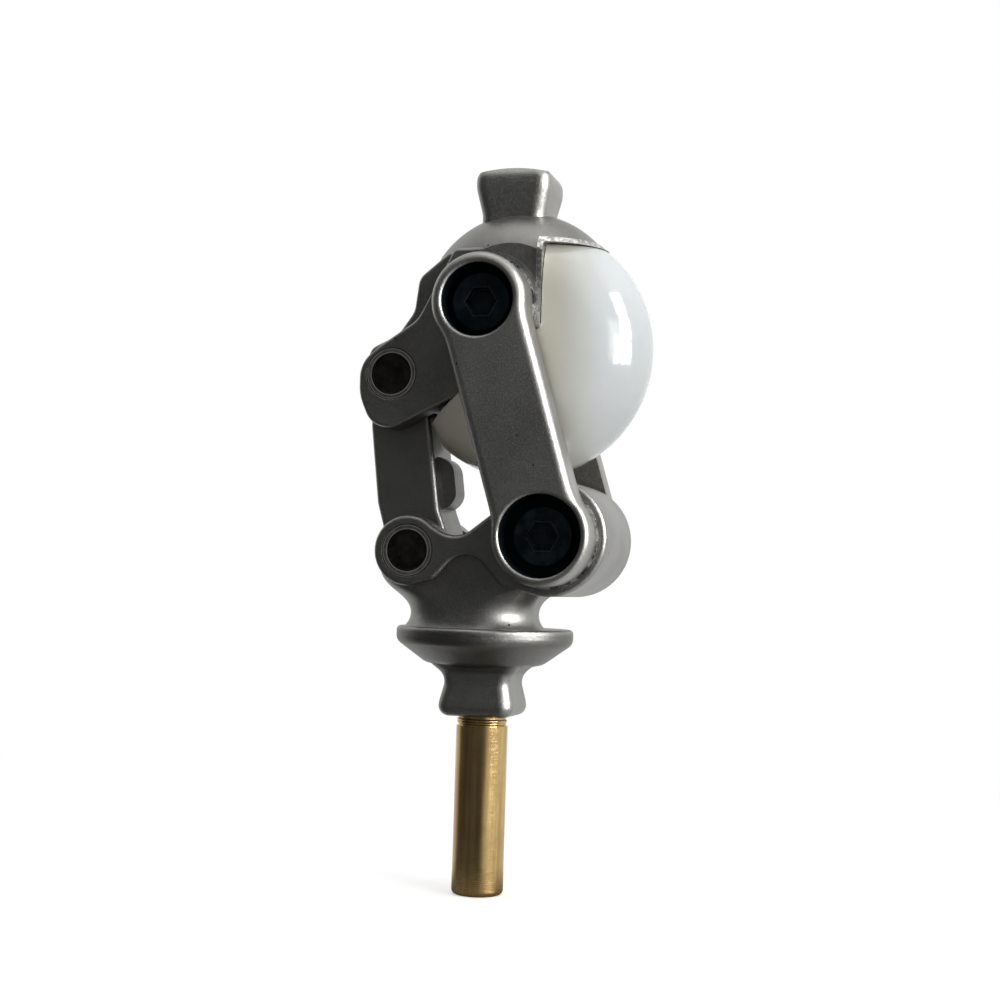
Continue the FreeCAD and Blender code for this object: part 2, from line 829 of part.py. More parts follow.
def head_casting():
    """The upper casting: a dome with flat cheeks, a pyramid and two rear arms."""
    dome = flat_ball("head_ball", size("ball_radius"), cheek_half, size("ball_flat"), BALL)
    belly = soft_ball("head_belly", size("cap_radius"), cheek_half, size("cap_flat"), CAP)
    shell = common("head_shell", fuse("head_balls", dome, belly), head_front())
    root = size("pyramid_root")
    peak_neck, peak_end = size("up_neck_z"), size("up_end_z")
    peak = common(
        "up_pyramid_crowned",
        pyramid("up_pyramid", size("up_x"), peak_neck, peak_end, 1, 0, root, size("up_round")),
        ball("up_crown_ball", "size.up_crown", "size.up_x", "size.up_end_z - size.up_crown"),
    )
    seat = pin("head_seat", "front_up", "size.seat_radius", "-" + BOSS, BOSS)
    whole = fuse("head_whole", shell, head_arm(), head_band(), seat, peak, head_core(), cap_rim())
    bores = [
        bore("head_bore_front", "front_up", "size.bush_radius"),
        bore("head_bore_rear", "rear_up", "size.ring_radius"),
    ]
    return cut("head_cut", whole, link_slot("head_slot"), *bores)


def knee_cap():
    """The white cap, a shell that wraps the front and underside of the head."""
    belly = soft_ball("cap_belly", size("cap_radius"), cheek_half, size("cap_flat"), CAP)
    top, tip, saddle, notch = cap_edge(size("cap_gap"))
    far = size("cap_x") + 2 * size("cap_radius")
    low = size("cap_z") - 2 * size("cap_radius")
    region = prism("cap_region", [
        top,
        (far, top[1], 0),
        (far, low, 0),
        (tip[0] - 2 * size("cap_wall"), low, 0),
        tip,
        saddle,
        notch,
    ], "%s + %s" % (BOSS, MARGIN))
    return cut("cap_open", common("cap_shell", belly, region), link_slot("cap_slot"))


def spring_housing():
    """The brass housing, screwed into the lower pyramid and closed at its end."""
    barrel = column("housing_barrel", "size.housing_radius", "size.housing_end", "size.housing_top")
    closed_end = size("housing_end")
    soft = rounded("housing_soft", barrel, size("housing_edge"), lambda edge: is_level(edge, closed_end))
    stem = column("housing_stem", "size.thread_radius", "size.housing_top", "size.thread_top")
    whole = fuse("housing_whole", soft, stem)
    inside = "size.housing_radius - size.housing_wall"
    room = column("housing_room", inside, "size.housing_end + size.housing_floor", "size.housing_top - 1")
    mouth = column("housing_mouth", "size.plunger_radius + size.plunger_play",
                   "size.housing_top - 2", "size.thread_top + 1")
    return cut("housing_cut", whole, room, mouth)


def plunger():
    """A rod that the nose of the rear link pushes down, with a piston on the spring."""
    rod = column("plunger_rod", "size.plunger_radius", "size.piston_z", "size.plunger_top")
    rod_top = size("plunger_top")
    soft = rounded("plunger_soft", rod, size("plunger_edge"), lambda edge: is_level(edge, rod_top))
    piston = column("plunger_piston", "size.housing_radius - size.housing_wall - size.plunger_play",
                    "size.piston_z", "size.piston_z + size.piston_high")
    return fuse("plunger_whole", soft, piston)


def spring():
    """The coil spring between the piston and the floor of the housing."""
    wire = size("spring_wire") / 2
    coil = size("housing_radius") - size("housing_wall") - wire - size("spring_play")
    floor = size("housing_end") + size("housing_floor") + wire
    long = size("piston_z") - wire - floor
    helix = Part.makeHelix(size("spring_pitch"), long, coil)
    section = Part.Wire(Part.makeCircle(wire, FreeCAD.Vector(coil, 0, 0), FreeCAD.Vector(0, 1, 0)))
    obj = named("Part::Feature", "spring_coil")
    obj.Shape = Part.Wire(helix).makePipeShell([section], True, True)
    obj.Placement = FreeCAD.Placement(FreeCAD.Vector(0, 0, floor), UPRIGHT)
    return obj


def rear_pin(name, where, y_from, y_to):
    return pin(name, where, "size.pin_radius", y_from, y_to)


near = near_link()
head = head_casting()
upper_axle = front_axle("up_axle", "front_up")
upper_bushes = front_bushes("upper_front_bush", "front_up")
pin_end = rear_pin("pin_end_near", "rear_up", "-%s + size.pin_inset" % CHEEK, "-" + SLOT)
washer_half = "(size.link_half + size.rear_washer)"
nodes = {
    "lower_frame": lower_frame(),
    "lower_front_bushes": front_bushes("lower_front_bush", "front_low"),
    "lower_rear_bushes": rear_bushes("lower_rear_bush", "rear_low", BOSS),
    "spring_housing": spring_housing(),
    "near_front_link": near,
    "far_front_link": mirrored("far_link", near),
    "lower_front_axle": front_axle("low_axle", "front_low"),
    "upper_front_axle": upper_axle,
    "lower_link_screws": link_screws("low_screw", "front_low"),
    "upper_link_screws": link_screws("up_screw", "front_up"),
    "lower_link_washers": front_washers("low_washer", "front_low", "size.link_low_radius + size.washer_rim"),
    "upper_link_washers": front_washers("up_washer", "front_up", "size.link_up_radius + size.washer_rim"),
    "rear_link": rear_link(),
    "lower_rear_pin": rear_pin(
        "low_pin", "rear_low", "-%s + size.pin_inset" % BOSS, "%s - size.pin_inset" % BOSS),
    "upper_rear_pin": rear_pin("up_pin", "rear_up", "-" + washer_half, washer_half),
    "lower_rear_washers": rear_washers("low_rear_washer", "rear_low", "size.eye_low"),
    "upper_rear_washers": rear_washers("up_rear_washer", "rear_up", "size.eye_up"),
    "head_casting": head,
    "knee_cap": cut("cap_fitted", knee_cap(), head, upper_bushes, upper_axle),
    "upper_front_bushes": upper_bushes,
    "upper_rear_bushes": rear_bushes("upper_rear_bush", "rear_up", CHEEK),
    "upper_rear_pin_ends": both("pin_ends", pin_end),
    "plunger": plunger(),
    "spring": spring(),
}

document.recompute()
for obj in document.Objects:
    if "Invalid" in obj.State or "Error" in obj.State:
        raise RuntimeError("%s failed: %s" % (obj.Name, obj.getStatusString()))
for label, obj in nodes.items():
    obj.Label = label
    if obj.Shape.isNull() or not obj.Shape.isValid():
        raise RuntimeError("%s has no valid shape" % label)
    obj.Shape.exportStep("parts/%s.step" % label)
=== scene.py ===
import json
import math

import bmesh
import bpy
from mathutils import Matrix, Vector


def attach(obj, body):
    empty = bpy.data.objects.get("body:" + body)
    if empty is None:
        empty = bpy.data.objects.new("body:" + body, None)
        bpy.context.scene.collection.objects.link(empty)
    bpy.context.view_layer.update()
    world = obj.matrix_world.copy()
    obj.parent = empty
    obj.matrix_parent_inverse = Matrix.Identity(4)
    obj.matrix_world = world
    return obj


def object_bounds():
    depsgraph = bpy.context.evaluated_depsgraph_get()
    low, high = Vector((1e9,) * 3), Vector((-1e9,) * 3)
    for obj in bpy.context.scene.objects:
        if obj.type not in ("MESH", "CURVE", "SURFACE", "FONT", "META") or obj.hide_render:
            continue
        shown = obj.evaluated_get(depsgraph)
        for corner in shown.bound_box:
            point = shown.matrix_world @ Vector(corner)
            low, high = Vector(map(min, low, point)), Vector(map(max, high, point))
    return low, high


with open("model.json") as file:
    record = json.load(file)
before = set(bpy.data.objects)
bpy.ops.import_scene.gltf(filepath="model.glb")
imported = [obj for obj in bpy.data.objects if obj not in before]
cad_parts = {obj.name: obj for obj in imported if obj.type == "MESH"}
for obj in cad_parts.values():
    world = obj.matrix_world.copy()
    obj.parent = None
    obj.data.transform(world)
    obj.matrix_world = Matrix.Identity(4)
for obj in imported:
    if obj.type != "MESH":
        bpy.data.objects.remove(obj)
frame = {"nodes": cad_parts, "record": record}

CAD_BOX = [list(corner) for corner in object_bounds()]
MM = 0.001
FLOOR_Z = CAD_BOX[0][2]


# Camera

CAMERA_AZIMUTH = math.radians(15.137)
CAMERA_PITCH = math.radians(2.883)
CAMERA_ROLL = math.radians(1.769)
CAMERA_DISTANCE = 0.49976
CAMERA_HEIGHT = 0.02483
CAMERA_SIDE = 0.00318
CAMERA_FOCAL = 61.425
CAMERA_SENSOR = 36.0


def make_camera():
    up = Vector((0, 0, 1))
    level = Vector((-math.sin(CAMERA_AZIMUTH), math.cos(CAMERA_AZIMUTH), 0))
    side = Vector((math.cos(CAMERA_AZIMUTH), math.sin(CAMERA_AZIMUTH), 0))
    place = up * CAMERA_HEIGHT - level * CAMERA_DISTANCE + side * CAMERA_SIDE
    ahead = level * math.cos(CAMERA_PITCH) + up * math.sin(CAMERA_PITCH)
    above = up * math.cos(CAMERA_PITCH) - level * math.sin(CAMERA_PITCH)
    right = side * math.cos(CAMERA_ROLL) + above * math.sin(CAMERA_ROLL)
    top = above * math.cos(CAMERA_ROLL) - side * math.sin(CAMERA_ROLL)
    data = bpy.data.cameras.new("camera")
    data.lens = CAMERA_FOCAL
    data.sensor_width = CAMERA_SENSOR
    data.clip_start = 0.01
    camera = bpy.data.objects.new("camera", data)
    turn = Matrix((right, top, -ahead)).transposed()
    camera.matrix_world = Matrix.Translation(place) @ turn.to_4x4()
    bpy.context.scene.collection.objects.link(camera)
    bpy.context.scene.camera = camera


# Nodes

class Graph:
    """A node tree with short calls for adding and joining nodes."""

    def __init__(self, tree):
        self.tree = tree
        self.nodes = tree.nodes

    def add(self, kind, inputs=None, **settings):
        node = self.nodes.new(kind)
        for name, value in settings.items():
            setattr(node, name, value)
        for name, value in (inputs or {}).items():
            self.feed(node.inputs[name], value)
        return node

    def feed(self, socket, value):
        if isinstance(value, bpy.types.NodeSocket):
            self.tree.links.new(value, socket)
        else:
            socket.default_value = value

    def math(self, operation, a, b=0.0, clamp=False):
        node = self.add("ShaderNodeMath", {0: a, 1: b}, operation=operation, use_clamp=clamp)
        return node.outputs[0]

    def ramp(self, value, low, high, start=0.0, end=1.0):
        sockets = {"Value": value, "From Min": low, "From Max": high, "To Min": start, "To Max": end}
        node = self.add("ShaderNodeMapRange", sockets, interpolation_type="SMOOTHSTEP")
        return node.outputs[0]

    def mix(self, factor, a, b):
        node = self.add("ShaderNodeMix", data_type="RGBA")
        for socket, value in ((0, factor), (6, a), (7, b)):
            self.feed(node.inputs[socket], value)
        return node.outputs[2]

    def blend(self, factor, a, b):
        return self.add("ShaderNodeMixShader", {0: factor, 1: a, 2: b}).outputs[0]

    def place(self, stretch=(1, 1, 1)):
        source = self.add("ShaderNodeTexCoord").outputs["Object"]
        return self.add("ShaderNodeMapping", {"Vector": source, "Scale": stretch}).outputs[0]

    def noise(self, place, scale, detail=2.0, roughness=0.5):
        sockets = {"Vector": place, "Scale": scale, "Detail": detail, "Roughness": roughness}
        return self.add("ShaderNodeTexNoise", sockets).outputs["Fac"]

    def bump(self, height, strength, distance, normal=None):
        sockets = {"Height": height, "Strength": strength, "Distance": distance}
        if normal:
            sockets["Normal"] = normal
        return self.add("ShaderNodeBump", sockets).outputs["Normal"]

    def edge(self, radius, low, high):
        """How far a surface turns within the radius: 1 on an edge, 0 on a flat."""
        soft = self.add("ShaderNodeBevel", {"Radius": radius}, samples=6).outputs[0]
        hard = self.add("ShaderNodeNewGeometry").outputs["Normal"]
        dot = self.add("ShaderNodeVectorMath", {0: soft, 1: hard}, operation="DOT_PRODUCT")
        return self.ramp(self.math("SUBTRACT", 1.0, dot.outputs["Value"]), low, high)

    def axes(self):
        """The place on the surface as three numbers."""
        return self.add("ShaderNodeSeparateXYZ", {0: self.place()}).outputs

    def away(self, pivots):
        """The distance from the nearest of several cross axes, in the side view."""
        at = self.axes()
        nearest = None
        for x, z in pivots:
            dx = self.math("SUBTRACT", at["X"], x)
            dz = self.math("SUBTRACT", at["Z"], z)
            square = self.math("ADD", self.math("MULTIPLY", dx, dx), self.math("MULTIPLY", dz, dz))
            far = self.math("SQRT", square)
            nearest = self.math("MINIMUM", nearest, far) if nearest else far
        return nearest

    def band(self, value, centre, half, soft):
        """1 where a value lies within half of the centre, fading over soft."""
        off = self.math("ABSOLUTE", self.math("SUBTRACT", value, centre))
        return self.ramp(off, half + soft, half)


def colour(red, green, blue):
    return (red, green, blue, 1.0)


def pivot_of(joint_name):
    """The pivot of a joint in the side view."""
    for joint in frame["record"]["behaviour"]["joints"]:
        if joint["name"] == joint_name:
            return joint["pos_m"][0], joint["pos_m"][2]


UPPER_REAR_PIVOT = (-0.0253, 0.0849)
FRONT_PIVOTS = (pivot_of("front_link_swing"), pivot_of("knee_flexion"))
REAR_PIVOTS = (pivot_of("rear_link_swing"), UPPER_REAR_PIVOT)


def finish(name, **fixed):
    """A new material, its graph and its shader with the fixed values set."""
    material = bpy.data.materials.new(name)
    material.use_nodes = True
    graph = Graph(material.node_tree)
    shader = material.node_tree.nodes["Principled BSDF"]
    for socket, value in fixed.items():
        shader.inputs[socket.replace("_", " ")].default_value = value
    return material, graph, shader.inputs


# Materials

CAST_DARK = colour(0.250, 0.247, 0.232)
CAST_PALE = colour(0.330, 0.326, 0.308)
CAST_WORN = colour(0.74, 0.74, 0.71)
# dark pits and gaps, also the colour used for painted shade
CAST_PIT_AND_SHADE = colour(0.013, 0.012, 0.010)
# painted shade colour for the insides of the counterbores
BORE_SHADE = colour(0.012, 0.017, 0.020)
BORE_RADIUS = 0.01155
BORE_MOUTH = 0.0303
BORE_FADE = 0.0006
LINK_INSIDE = 0.0200
RING_OUTSIDE = 0.0073
RING_INSIDE = 0.00595
RIM_X = 0.01765
RIM_Z = 0.12335
RIM_HALF = 0.00075
RIM_FADE = 0.0002
RIM_FOOT = 0.0965
RIM_SIDE = 0.0195
CASTINGS_END = 0.0216
LINKS_BEGIN = 0.0232
PYRAMID_FOOT = 0.1310
PYRAMID_CLEAR = 0.1345
FLANGE_FULL = (0.0005, 0.0105)
FLANGE_CLEAR = (-0.0015, 0.0125)


def counterbore_shade(graph):
    """Painted shade inside the links' counterbores."""
    at = graph.axes()
    inside = graph.ramp(graph.away(FRONT_PIVOTS), BORE_RADIUS + 0.0002, BORE_RADIUS)
    depth = graph.math("ABSOLUTE", at["Y"])
    sunk = graph.ramp(depth, BORE_MOUTH, BORE_MOUTH - BORE_FADE)
    in_link = graph.ramp(depth, LINK_INSIDE, LINK_INSIDE + BORE_FADE)
    return graph.math("MULTIPLY", inside, graph.math("MULTIPLY", sunk, in_link))


def cap_rim(graph):
    """The bright chipped bead that frames the cap."""
    at = graph.axes()
    upright = graph.band(at["X"], RIM_X, RIM_HALF, RIM_FADE)
    upright = graph.math("MULTIPLY", upright, graph.ramp(at["Z"], RIM_FOOT, RIM_FOOT + 0.001))
    upright = graph.math("MULTIPLY", upright, graph.ramp(at["Z"], RIM_Z + 0.0011, RIM_Z + 0.0007))
    level = graph.band(at["Z"], RIM_Z, RIM_HALF, RIM_FADE)
    level = graph.math("MULTIPLY", level, graph.ramp(at["X"], RIM_X - 0.001, RIM_X - 0.0007))
    rim = graph.math("MAXIMUM", upright, level)
    near = graph.ramp(graph.math("ABSOLUTE", at["Y"]), RIM_SIDE, RIM_SIDE - 0.0003)
    chips = graph.ramp(graph.noise(graph.place(), 620, 4, 0.7), 0.42, 0.62, 0.10, 1.0)
    return graph.math("MULTIPLY", chips, graph.math("MULTIPLY", rim, near))


def recessed_castings_shade(graph):
    """Painted shade on the frame, the head and the rear link, which sit deeper and are darker than the
    front links.
    """
    at = graph.axes()
    inside = graph.ramp(graph.math("ABSOLUTE", at["Y"]), LINKS_BEGIN, CASTINGS_END)
    return graph.math("MULTIPLY", inside, graph.ramp(at["Z"], PYRAMID_CLEAR, PYRAMID_FOOT))


def flange_shade(graph):
    """Painted shade on the flange and the bowl under it."""
    height = graph.axes()["Z"]
    under = graph.ramp(height, FLANGE_CLEAR[1], FLANGE_FULL[1])
    over = graph.ramp(height, FLANGE_CLEAR[0], FLANGE_FULL[0])
    return graph.math("MULTIPLY", under, over)


def casting():
    material, graph, shader = finish("bead_blasted_casting", Metallic=1.0)
    place = graph.place()
    cloud = graph.noise(place, 55, 4, 0.55)
    grain = graph.noise(place, 2100, 2, 0.6)
    swell = graph.noise(place, 240, 2)
    cells = graph.add("ShaderNodeTexVoronoi", {"Vector": place, "Scale": 165.0, "Randomness": 1.0})
    chosen = graph.ramp(cells.outputs["Color"], 0.52, 0.58)
    size = graph.ramp(graph.noise(place, 900, 1), 0.3, 0.7, 0.028, 0.075)
    hole = graph.math("LESS_THAN", cells.outputs["Distance"], size)
    pits = graph.math("MULTIPLY", hole, chosen)
    worn = graph.edge(0.00055, 0.05, 0.32)
    worn = graph.math("MULTIPLY", worn, graph.ramp(graph.noise(place, 420, 3), 0.30, 0.62, 0.35, 1.0))
    # painted shade on the flange and the bowl under it, which also dims the worn edges there
    oil_and_shade = flange_shade(graph)
    worn = graph.math("MULTIPLY", worn, graph.ramp(oil_and_shade, 0.0, 1.0, 1.0, 0.2))
    worn = graph.math("MAXIMUM", worn, cap_rim(graph))
    tone = graph.mix(graph.ramp(cloud, 0.3, 0.7), CAST_DARK, CAST_PALE)
    fleck = graph.mix(graph.ramp(grain, 0.42, 0.74), tone, colour(0.42, 0.415, 0.40))
    tone = graph.mix(0.45, tone, fleck)
    # painted shade: the frame, the head and the rear link are darkened towards the dark pit colour
    tone = graph.mix(graph.math("MULTIPLY", recessed_castings_shade(graph), 0.22), tone, CAST_PIT_AND_SHADE)
    # painted shade: the flange and the bowl are darkened
    tone = graph.mix(graph.math("MULTIPLY", oil_and_shade, 0.50), tone, CAST_PIT_AND_SHADE)
    tone = graph.mix(worn, tone, CAST_WORN)
    groove = graph.band(graph.away(REAR_PIVOTS), RING_OUTSIDE + 0.00012, 0.00010, 0.00012)
    dark = graph.math("MAXIMUM", pits, graph.math("MULTIPLY", groove, 0.9))
    tone = graph.mix(dark, tone, CAST_PIT_AND_SHADE)
    # painted shade: the insides of the counterbores are darkened
    bore_shade = counterbore_shade(graph)
    graph.feed(shader["Base Color"], graph.mix(bore_shade, tone, BORE_SHADE))
    rough = graph.ramp(grain, 0.25, 0.75, 0.34, 0.48)
    rough = graph.math("SUBTRACT", rough, graph.math("MULTIPLY", worn, 0.10))
    graph.feed(shader["Roughness"], graph.math("ADD", rough, graph.math("MULTIPLY", bore_shade, 0.10)))
    height = graph.math("ADD", grain, graph.math("MULTIPLY", swell, 1.6))
    height = graph.math("SUBTRACT", height, graph.math("MULTIPLY", pits, 4.0))
    height = graph.math("SUBTRACT", height, graph.math("MULTIPLY", groove, 5.0))
    graph.feed(shader["Normal"], graph.bump(height, 0.80, 0.00006))
    return material


def turned(name, dark, pale, low, high, pitch=2600.0, strength=0.25, **fixed):
    """Turned or ground metal: fine rings about the cross axle, with stains."""
    material, graph, shader = finish(name, **fixed)
    place = graph.place()
    around = graph.place((0.06, 1.0, 0.06))
    rings = graph.noise(around, pitch, 3, 0.6)
    stain = graph.noise(place, 260, 4, 0.6)
    graph.feed(shader["Base Color"], graph.mix(graph.ramp(stain, 0.3, 0.7), dark, pale))
    graph.feed(shader["Roughness"], graph.ramp(rings, 0.2, 0.8, low, high))
    height = graph.math("ADD", rings, graph.math("MULTIPLY", stain, 0.8))
    graph.feed(shader["Normal"], graph.bump(height, strength, 0.00003))
    return material


def ring_steel():
    """The turned rings round the rear pins, with a bright lip and a dark gap inside."""
    material, graph, shader = finish("turned_ring", Metallic=1.0)
    place = graph.place()
    far = graph.away(REAR_PIVOTS)
    rings = graph.noise(graph.place((0.06, 1.0, 0.06)), 2600, 3, 0.6)
    stain = graph.ramp(graph.noise(place, 320, 4, 0.6), 0.3, 0.7)
    tone = graph.mix(stain, colour(0.20, 0.197, 0.185), colour(0.38, 0.373, 0.35))
    lips = graph.math(
        "MAXIMUM", graph.band(far, RING_INSIDE + 0.00020, 0.00012, 0.0001),
        graph.band(far, RING_OUTSIDE - 0.00014, 0.00010, 0.0001))
    tone = graph.mix(graph.math("MULTIPLY", lips, 0.8), tone, colour(0.7, 0.69, 0.66))
    gap = graph.ramp(far, RING_INSIDE + 0.00006, RING_INSIDE - 0.00002)
    graph.feed(shader["Base Color"], graph.mix(gap, tone, CAST_PIT_AND_SHADE))
    graph.feed(shader["Roughness"], graph.ramp(rings, 0.2, 0.8, 0.28, 0.45))
    height = graph.math("SUBTRACT", rings, graph.math("MULTIPLY", gap, 5.0))
    graph.feed(shader["Normal"], graph.bump(height, 0.3, 0.00004))
    return material


def black_oxide():
    """Oily black screws and pins, with paler edges."""
    material, graph, shader = finish("black_oxide", Metallic=0.9)
    place = graph.place()
    stain = graph.ramp(graph.noise(place, 300, 4, 0.6), 0.3, 0.7)
    rear = graph.ramp(graph.away(REAR_PIVOTS), 0.0062, 0.0060)
    oil_and_shade = graph.mix(stain, colour(0.008, 0.013, 0.016), colour(0.018, 0.028, 0.033))
    brown = graph.mix(stain, colour(0.016, 0.013, 0.011), colour(0.034, 0.029, 0.025))
    tone = graph.mix(rear, oil_and_shade, brown)
    edges = graph.edge(0.00035, 0.04, 0.3)
    graph.feed(shader["Base Color"], graph.mix(edges, tone, colour(0.16, 0.19, 0.19)))
    graph.feed(shader["Roughness"], graph.ramp(stain, 0.0, 1.0, 0.34, 0.52))
    graph.feed(shader["Normal"], graph.bump(graph.noise(place, 1500, 3), 0.3, 0.00003))
    return material


def chipped_washer():
    material, graph, shader = finish("chipped_bright_washer", Metallic=1.0)
    place = graph.place()
    chips = graph.noise(place, 700, 4, 0.7)
    dirt = graph.noise(place, 330, 3, 0.6)
    tone = graph.mix(graph.ramp(dirt, 0.38, 0.58), colour(0.10, 0.098, 0.095), colour(0.90, 0.90, 0.87))
    graph.feed(shader["Base Color"], tone)
    graph.feed(shader["Roughness"], graph.ramp(chips, 0.3, 0.7, 0.16, 0.46))
    graph.feed(shader["Normal"], graph.bump(chips, 0.8, 0.00012))
    return material


BRASS_GOLD = colour(0.60, 0.44, 0.19)
BRASS_DARK = colour(0.40, 0.26, 0.11)
BRASS_DEEP = colour(0.10, 0.055, 0.022)


def brass():
    material, graph, shader = finish("turned_brass", Metallic=1.0)
    place = graph.place()
    streaks = graph.noise(graph.place((1.0, 1.0, 0.05)), 420, 4, 0.55)
    patches = graph.noise(place, 95, 4, 0.6)
    rings = graph.noise(graph.place((0.08, 0.08, 1.0)), 3400, 3, 0.6)
    specks = graph.noise(place, 1500, 3, 0.7)
    tone = graph.mix(graph.ramp(streaks, 0.36, 0.68), BRASS_GOLD, BRASS_DARK)
    tone = graph.mix(graph.math("MULTIPLY", graph.ramp(patches, 0.42, 0.70), 0.55), tone, BRASS_DARK)
    tone = graph.mix(graph.math("MULTIPLY", graph.ramp(specks, 0.66, 0.74), 0.7), tone, BRASS_DEEP)
    height = graph.axes()["Z"]
    # darker and rougher in patches towards the bottom end
    low_patches = graph.math("MULTIPLY", graph.ramp(height, -0.0535, -0.0640), graph.ramp(patches, 0.35, 0.6))
    tone = graph.mix(graph.math("MULTIPLY", low_patches, 0.6), tone, BRASS_DARK)
    graph.feed(shader["Base Color"], tone)
    rough = graph.ramp(rings, 0.25, 0.75, 0.12, 0.22)
    graph.feed(shader["Roughness"], graph.math("ADD", rough, graph.math("MULTIPLY", low_patches, 0.15)))
    relief = graph.math("ADD", rings, graph.math("MULTIPLY", patches, 1.2))
    graph.feed(shader["Normal"], graph.bump(relief, 0.30, 0.00004))
    return material


CAP_COOL = colour(0.86, 0.90, 0.91)
# painted shade colour of the cap towards the links
CAP_WARM_SHADE = colour(0.61, 0.58, 0.48)
CAP_CLEAR = colour(0.78, 0.84, 0.86)
# painted shade colour of the cap between the links
CAP_SHADE = colour(0.26, 0.25, 0.21)


def milky_cap():
    material, graph, shader = finish(
        "milky_cap", Roughness=0.11, IOR=1.5, Coat_Weight=0.45, Coat_Roughness=0.03,
        Subsurface_Weight=0.35, Subsurface_Radius=(1.0, 0.9, 0.8), Subsurface_Scale=0.004)
    place = graph.place()
    x = graph.axes()["X"]
    cloud = graph.noise(place, 38, 4, 0.5)
    # painted shade: the cap turns warmer and darker towards the links, and darkest between them
    warm_shade = graph.ramp(x, 0.038, 0.020)
    tone = graph.mix(graph.ramp(cloud, 0.3, 0.7), CAP_COOL, CAP_CLEAR)
    tone = graph.mix(graph.math("MULTIPLY", warm_shade, 0.85), tone, CAP_WARM_SHADE)
    tone = graph.mix(graph.ramp(x, 0.010, -0.008, 0.0, 0.75), tone, CAP_SHADE)
    graph.feed(shader["Base Color"], tone)
    scuffs = graph.noise(graph.place((1.0, 1.0, 0.12)), 900, 3, 0.6)
    relief = graph.math("ADD", graph.math("MULTIPLY", scuffs, 0.12), graph.noise(place, 130, 2))
    graph.feed(shader["Normal"], graph.bump(relief, 0.12, 0.00006))
    return material


def make_materials():
    return {
        "casting": casting(),
        "bush": ring_steel(),
        "axle": turned(
            "ground_steel", colour(0.42, 0.42, 0.41), colour(0.6, 0.6, 0.58), 0.16, 0.3, Metallic=1.0),
        "washer": chipped_washer(),
        "black_steel": black_oxide(),
        "spring_steel": turned(
            "drawn_wire", colour(0.32, 0.32, 0.31), colour(0.52, 0.52, 0.5), 0.2, 0.36, Metallic=1.0),
        "brass": brass(),
        "cap": milky_cap(),
    }


def dress_nodes(materials):
    for part in frame["record"]["subparts"]:
        piece = frame["nodes"][part["node"]]
        for slot in piece.material_slots:
            slot.material = materials[part["material_slot"]]


# Thread of the spring housing

THREAD_TOP = -13.05
THREAD_END = -15.7
THREAD_PITCH = 1.25
THREAD_ROOT = 6.88
THREAD_CREST = 7.36
THREAD_STEPS = 72


def ring_of(angle, height, root, crest, half):
    """The four points of the thread's profile at one angle."""
    outline = ((root, -half), (crest, -half * 0.22), (crest, half * 0.22), (root, half))
    return [
        Vector((r * math.cos(angle), r * math.sin(angle), height + dz)) * MM for r, dz in outline]


def add_piece(name, mesh, body, material):
    piece = bpy.data.objects.new(name, mesh)
    mesh.materials.append(material)
    bpy.context.scene.collection.objects.link(piece)
    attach(piece, body)
    return piece


def thread_mesh():
    mesh = bpy.data.meshes.new("housing_thread")
    work = bmesh.new()
    turns = (THREAD_TOP - THREAD_END) / THREAD_PITCH
    count = int(turns * THREAD_STEPS)
    half = THREAD_PITCH * 0.42
    rows = []
    for step in range(count + 1):
        share = step / count
        fade = min(1.0, share * 8, (1 - share) * 8)
        angle = math.tau * turns * share
        height = THREAD_TOP - half + (THREAD_END - THREAD_TOP + 2 * half) * share
        crest = THREAD_ROOT + (THREAD_CREST - THREAD_ROOT) * fade
        rows.append([work.verts.new(p) for p in ring_of(angle, height, THREAD_ROOT, crest, half)])
    for a, b in zip(rows, rows[1:]):
        for k in range(3):
            work.faces.new((a[k], b[k], b[k + 1], a[k + 1]))
    for face in work.faces:
        face.smooth = True
    bmesh.ops.recalc_face_normals(work, faces=work.faces)
    work.to_mesh(mesh)
    work.free()
    return mesh


# Stage and light

ROOM_DARK = (-0.54, -0.83, -0.12)
ROOM_LOW = 0.088
ROOM_HIGH = 0.90
WHITE_FROM = (0.08, 0.40)
ROOM_FROM = (0.01, 0.06)


def room(graph, direction):
    """How bright the room is in a direction, as reflections see it."""
    toward = graph.add("ShaderNodeVectorMath", {0: direction, 1: ROOM_DARK}, operation="DOT_PRODUCT")
    dark = graph.ramp(toward.outputs["Value"], -0.05, 0.75)
    height = graph.add("ShaderNodeSeparateXYZ", {0: direction}).outputs["Z"]
    dark = graph.math("MULTIPLY", dark, graph.ramp(height, 0.97, 0.55))
    return graph.ramp(dark, 0.0, 1.0, ROOM_HIGH, ROOM_LOW)


def make_world():
    """White to the camera, and a room that is dark at the front left in reflections."""
    world = bpy.data.worlds.new("studio")
    bpy.context.scene.world = world
    world.use_nodes = True
    graph = Graph(world.node_tree)
    back = world.node_tree.nodes["Background"]
    light = graph.add("ShaderNodeLightPath").outputs
    glossy = room(graph, graph.add("ShaderNodeTexCoord").outputs["Generated"])
    seen = graph.math("MAXIMUM", light["Is Camera Ray"], light["Is Transmission Ray"])
    strength = graph.mix(light["Is Glossy Ray"], colour(0.66, 0.68, 0.69), glossy)
    strength = graph.mix(seen, strength, colour(1, 1, 1))
    back.inputs["Color"].default_value = colour(1, 1, 1)
    graph.feed(back.inputs["Strength"], strength)


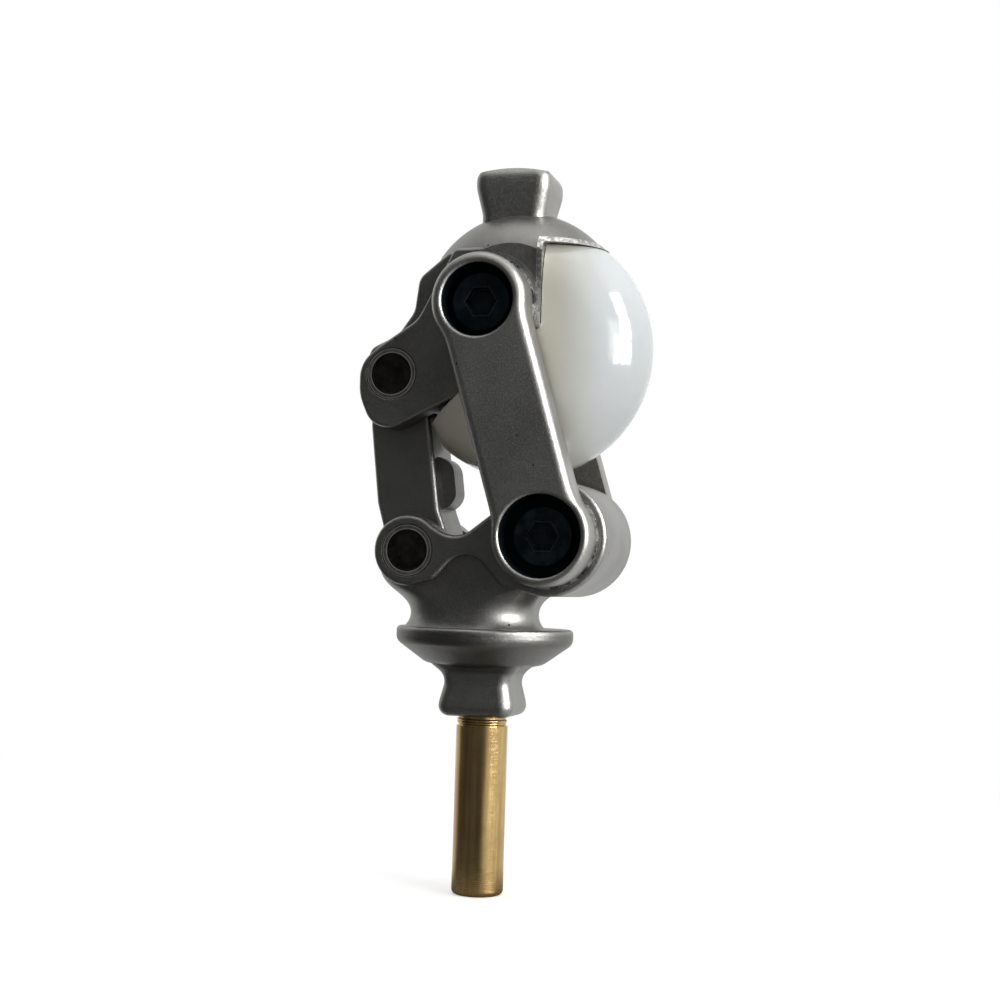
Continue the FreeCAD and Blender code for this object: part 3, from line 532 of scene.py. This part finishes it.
def make_floor():
    """A pale floor: white to the camera further out, and part of the room in reflections."""
    bpy.ops.mesh.primitive_plane_add(size=60.0, location=(0, 0, FLOOR_Z))
    floor = bpy.context.object
    floor.name = "floor"
    material = bpy.data.materials.new("floor_white")
    material.use_nodes = True
    graph = Graph(material.node_tree)
    graph.nodes.remove(material.node_tree.nodes["Principled BSDF"])
    out = material.node_tree.nodes["Material Output"]
    light = graph.add("ShaderNodeLightPath").outputs
    seen = graph.math("MAXIMUM", light["Is Camera Ray"], light["Is Transmission Ray"])
    place = graph.place()
    away = graph.add("ShaderNodeVectorMath", {0: place}, operation="LENGTH").outputs["Value"]
    toward = graph.add("ShaderNodeVectorMath", {0: place}, operation="NORMALIZE").outputs["Vector"]
    matt = graph.add("ShaderNodeBsdfDiffuse", {"Color": colour(0.8, 0.8, 0.8)}).outputs[0]
    dull = graph.add("ShaderNodeBsdfDiffuse", {"Color": colour(0.30, 0.295, 0.28)}).outputs[0]
    dim, white, around = [
        graph.add("ShaderNodeEmission", {"Color": colour(1, 1, 1), "Strength": strength}).outputs[0]
        for strength in (0.44, 1.0, room(graph, toward))]
    near = graph.add("ShaderNodeAddShader", {0: matt, 1: dim}).outputs[0]
    shown = graph.blend(graph.ramp(away, *WHITE_FROM), near, white)
    mirrored = graph.blend(graph.ramp(away, *ROOM_FROM), dull, around)
    lit = graph.blend(light["Is Glossy Ray"], dull, mirrored)
    graph.feed(out.inputs["Surface"], graph.blend(seen, lit, shown))
    floor.data.materials.append(material)


AIM = Vector((0.008, 0.0, 0.06))


def lamp(name, azimuth, elevation, distance, wide, tall, watts, diffuse=True, glossy=True):
    """A soft box that looks at the knee. Azimuth is from -Y towards +X, in degrees."""
    a, e = math.radians(azimuth), math.radians(elevation)
    out = Vector((math.sin(a) * math.cos(e), -math.cos(a) * math.cos(e), math.sin(e)))
    data = bpy.data.lights.new(name, "AREA")
    data.shape = "RECTANGLE"
    data.size = wide
    data.size_y = tall
    data.energy = watts
    light = bpy.data.objects.new(name, data)
    light.location = AIM + out * distance
    light.rotation_mode = "QUATERNION"
    light.rotation_quaternion = (-out).to_track_quat("-Z", "Y")
    light.visible_diffuse = diffuse
    light.visible_glossy = glossy
    bpy.context.scene.collection.objects.link(light)


WINDOW_AZIMUTHS = (73, 80, 86)
WINDOW_ELEVATIONS = (35, 20, 5)


def make_lamps():
    for azimuth in WINDOW_AZIMUTHS:
        for elevation in WINDOW_ELEVATIONS:
            name = "window_%d_%d" % (azimuth, elevation)
            lamp(name, azimuth, elevation, 1.1, 0.115, 0.25, 2.6, diffuse=False)
    lamp("low_window", 62, 6, 1.1, 0.16, 0.30, 4.0, diffuse=False)
    lamp("right_box", 60, 12, 1.2, 0.5, 0.5, 2.5, diffuse=False)
    lamp("right_fill", 60, 18, 1.2, 0.5, 0.5, 4.6, glossy=False)
    lamp("left_box", -98, 18, 1.2, 0.25, 0.8, 0.45)
    lamp("top_box", 20, 82, 1.1, 0.7, 0.7, 1.4)


make_camera()
make_world()
make_floor()
make_lamps()
MATERIALS = make_materials()
dress_nodes(MATERIALS)
add_piece("housing_thread", thread_mesh(), "lower_body", MATERIALS["brass"])
bpy.context.scene.view_settings.view_transform = "Standard"
